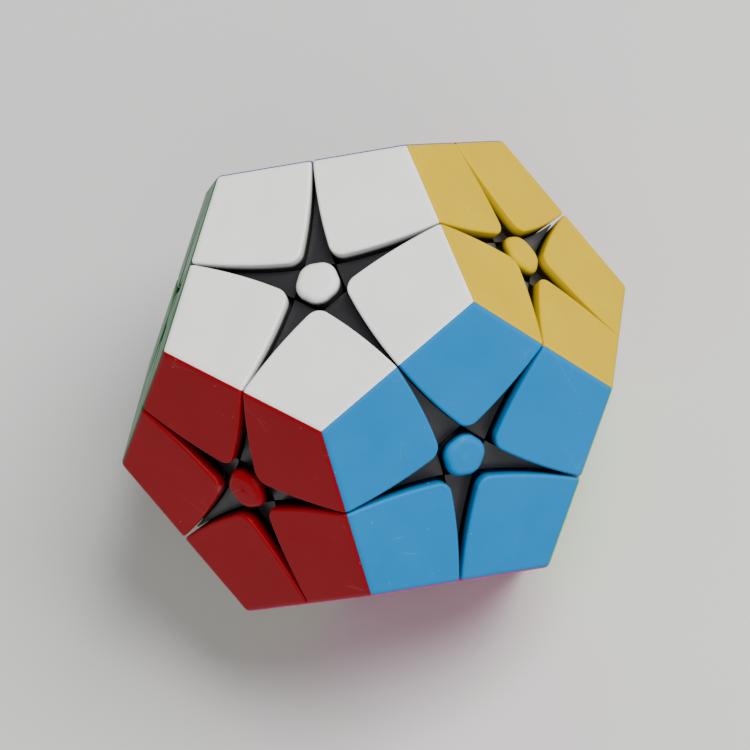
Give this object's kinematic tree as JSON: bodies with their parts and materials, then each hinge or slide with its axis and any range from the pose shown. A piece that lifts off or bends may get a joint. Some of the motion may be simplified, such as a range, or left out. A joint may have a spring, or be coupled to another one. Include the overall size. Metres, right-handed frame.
{
  "type": "dodecahedron twisty puzzle",
  "caption": "Twelve-faced stickerless twisty puzzle: coloured kite-shaped corner tiles round small centre caps, black edge pieces in star-shaped gaps, faces turning on a sprung core.",
  "frame": {"origin": "centre of the core, which is the centre of the puzzle", "axes": "+Z along the white face's turning axis, out of the white face; -Y to the front, which the blue face looks towards, leaning back by 26.6 degrees; the puzzle rests on the gray face, at Z = -35 mm"},
  "size_m": [0.0818, 0.0858, 0.07],
  "materials": {
    "blue_plastic": "satin moulded ABS, blue",
    "white_plastic": "satin moulded ABS, white",
    "red_plastic": "satin moulded ABS, red",
    "magenta_plastic": "satin moulded ABS, magenta",
    "lime_plastic": "satin moulded ABS, lime",
    "yellow_plastic": "satin moulded ABS, yellow",
    "purple_plastic": "satin moulded ABS, purple",
    "green_plastic": "satin moulded ABS, green",
    "cream_plastic": "satin moulded ABS, cream",
    "gray_plastic": "satin moulded ABS, gray",
    "orange_plastic": "satin moulded ABS, orange",
    "navy_plastic": "satin moulded ABS, navy",
    "black_foot_plastic": "satin moulded ABS, black",
    "black_edge_plastic": "polished sliding faces, black",
    "black_bearing_plastic": "satin moulded nylon, black",
    "core_plastic": "moulded nylon, natural grey",
    "screw_steel": "zinc-plated",
    "washer_steel": "zinc-plated",
    "spring_steel": "drawn wire"
  },
  "bodies": {
    "core_and_fixed_corners": {"core": "core_plastic", "fixed_corner_feet": "black_foot_plastic", "fixed_cream_tiles": "cream_plastic", "fixed_edge_pieces": "black_edge_plastic", "fixed_gray_tiles": "gray_plastic", "fixed_lime_tiles": "lime_plastic", "fixed_magenta_tiles": "magenta_plastic", "fixed_navy_tiles": "navy_plastic", "fixed_purple_tiles": "purple_plastic", "fixed_red_tiles": "red_plastic", "fixed_white_tiles": "white_plastic", "fixed_yellow_tiles": "yellow_plastic", "screws": "screw_steel", "springs": "spring_steel", "washers": "washer_steel"},
    "blue_layer": {"blue_center_base": "black_bearing_plastic", "blue_layer_blue_tiles": "blue_plastic", "blue_layer_corner_feet": "black_foot_plastic", "blue_layer_edge_pieces": "black_edge_plastic", "blue_layer_lime_tiles": "lime_plastic", "blue_layer_magenta_tiles": "magenta_plastic", "blue_layer_red_tiles": "red_plastic", "blue_layer_white_tiles": "white_plastic", "blue_layer_yellow_tiles": "yellow_plastic"},
    "green_layer": {"green_center_base": "black_bearing_plastic", "green_layer_corner_feet": "black_foot_plastic", "green_layer_cream_tiles": "cream_plastic", "green_layer_edge_pieces": "black_edge_plastic", "green_layer_green_tiles": "green_plastic", "green_layer_navy_tiles": "navy_plastic", "green_layer_purple_tiles": "purple_plastic", "green_layer_red_tiles": "red_plastic", "green_layer_white_tiles": "white_plastic"},
    "orange_layer": {"orange_center_base": "black_bearing_plastic", "orange_layer_corner_feet": "black_foot_plastic", "orange_layer_edge_pieces": "black_edge_plastic", "orange_layer_gray_tiles": "gray_plastic", "orange_layer_lime_tiles": "lime_plastic", "orange_layer_navy_tiles": "navy_plastic", "orange_layer_orange_tiles": "orange_plastic", "orange_layer_purple_tiles": "purple_plastic", "orange_layer_yellow_tiles": "yellow_plastic"},
    "white_center": {"white_center_base": "black_bearing_plastic", "white_center_cap": "white_plastic"},
    "red_center": {"red_center_base": "black_bearing_plastic", "red_center_cap": "red_plastic"},
    "magenta_center": {"magenta_center_base": "black_bearing_plastic", "magenta_center_cap": "magenta_plastic"},
    "lime_center": {"lime_center_base": "black_bearing_plastic", "lime_center_cap": "lime_plastic"},
    "yellow_center": {"yellow_center_base": "black_bearing_plastic", "yellow_center_cap": "yellow_plastic"},
    "purple_center": {"purple_center_base": "black_bearing_plastic", "purple_center_cap": "purple_plastic"},
    "cream_center": {"cream_center_base": "black_bearing_plastic", "cream_center_cap": "cream_plastic"},
    "gray_center": {"gray_center_base": "black_bearing_plastic", "gray_center_cap": "gray_plastic"},
    "navy_center": {"navy_center_base": "black_bearing_plastic", "navy_center_cap": "navy_plastic"}
  },
  "joints": [
    {"name": "blue_face_turn", "type": "hinge", "parent": "core_and_fixed_corners", "child": "blue_layer", "pos_m": [0, -0.01834, 0.00917], "axis": [0, -0.8944, 0.4472], "continuous": true},
    {"name": "green_face_turn", "type": "hinge", "parent": "core_and_fixed_corners", "child": "green_layer", "pos_m": [-0.01078, 0.01483, 0.00917], "axis": [-0.5257, 0.7236, 0.4472], "continuous": true},
    {"name": "orange_face_turn", "type": "hinge", "parent": "core_and_fixed_corners", "child": "orange_layer", "pos_m": [0.01744, 0.00567, -0.00917], "axis": [0.8507, 0.2764, -0.4472], "continuous": true},
    {"name": "white_center_turn", "type": "hinge", "parent": "core_and_fixed_corners", "child": "white_center", "pos_m": [0, 0, 0.0205], "axis": [0, 0, 1], "continuous": true},
    {"name": "red_center_turn", "type": "hinge", "parent": "core_and_fixed_corners", "child": "red_center", "pos_m": [-0.01744, -0.00567, 0.00917], "axis": [-0.8507, -0.2764, 0.4472], "continuous": true},
    {"name": "magenta_center_turn", "type": "hinge", "parent": "core_and_fixed_corners", "child": "magenta_center", "pos_m": [-0.01078, -0.01483, -0.00917], "axis": [-0.5257, -0.7236, -0.4472], "continuous": true},
    {"name": "lime_center_turn", "type": "hinge", "parent": "core_and_fixed_corners", "child": "lime_center", "pos_m": [0.01078, -0.01483, -0.00917], "axis": [0.5257, -0.7236, -0.4472], "continuous": true},
    {"name": "yellow_center_turn", "type": "hinge", "parent": "core_and_fixed_corners", "child": "yellow_center", "pos_m": [0.01744, -0.00567, 0.00917], "axis": [0.8507, -0.2764, 0.4472], "continuous": true},
    {"name": "purple_center_turn", "type": "hinge", "parent": "core_and_fixed_corners", "child": "purple_center", "pos_m": [0.01078, 0.01483, 0.00917], "axis": [0.5257, 0.7236, 0.4472], "continuous": true},
    {"name": "cream_center_turn", "type": "hinge", "parent": "core_and_fixed_corners", "child": "cream_center", "pos_m": [-0.01744, 0.00567, -0.00917], "axis": [-0.8507, 0.2764, -0.4472], "continuous": true},
    {"name": "gray_center_turn", "type": "hinge", "parent": "core_and_fixed_corners", "child": "gray_center", "pos_m": [0, 0, -0.0205], "axis": [0, 0, -1], "continuous": true},
    {"name": "navy_center_turn", "type": "hinge", "parent": "core_and_fixed_corners", "child": "navy_center", "pos_m": [0, 0.01834, -0.00917], "axis": [0, 0.8944, -0.4472], "continuous": true}
  ]
}
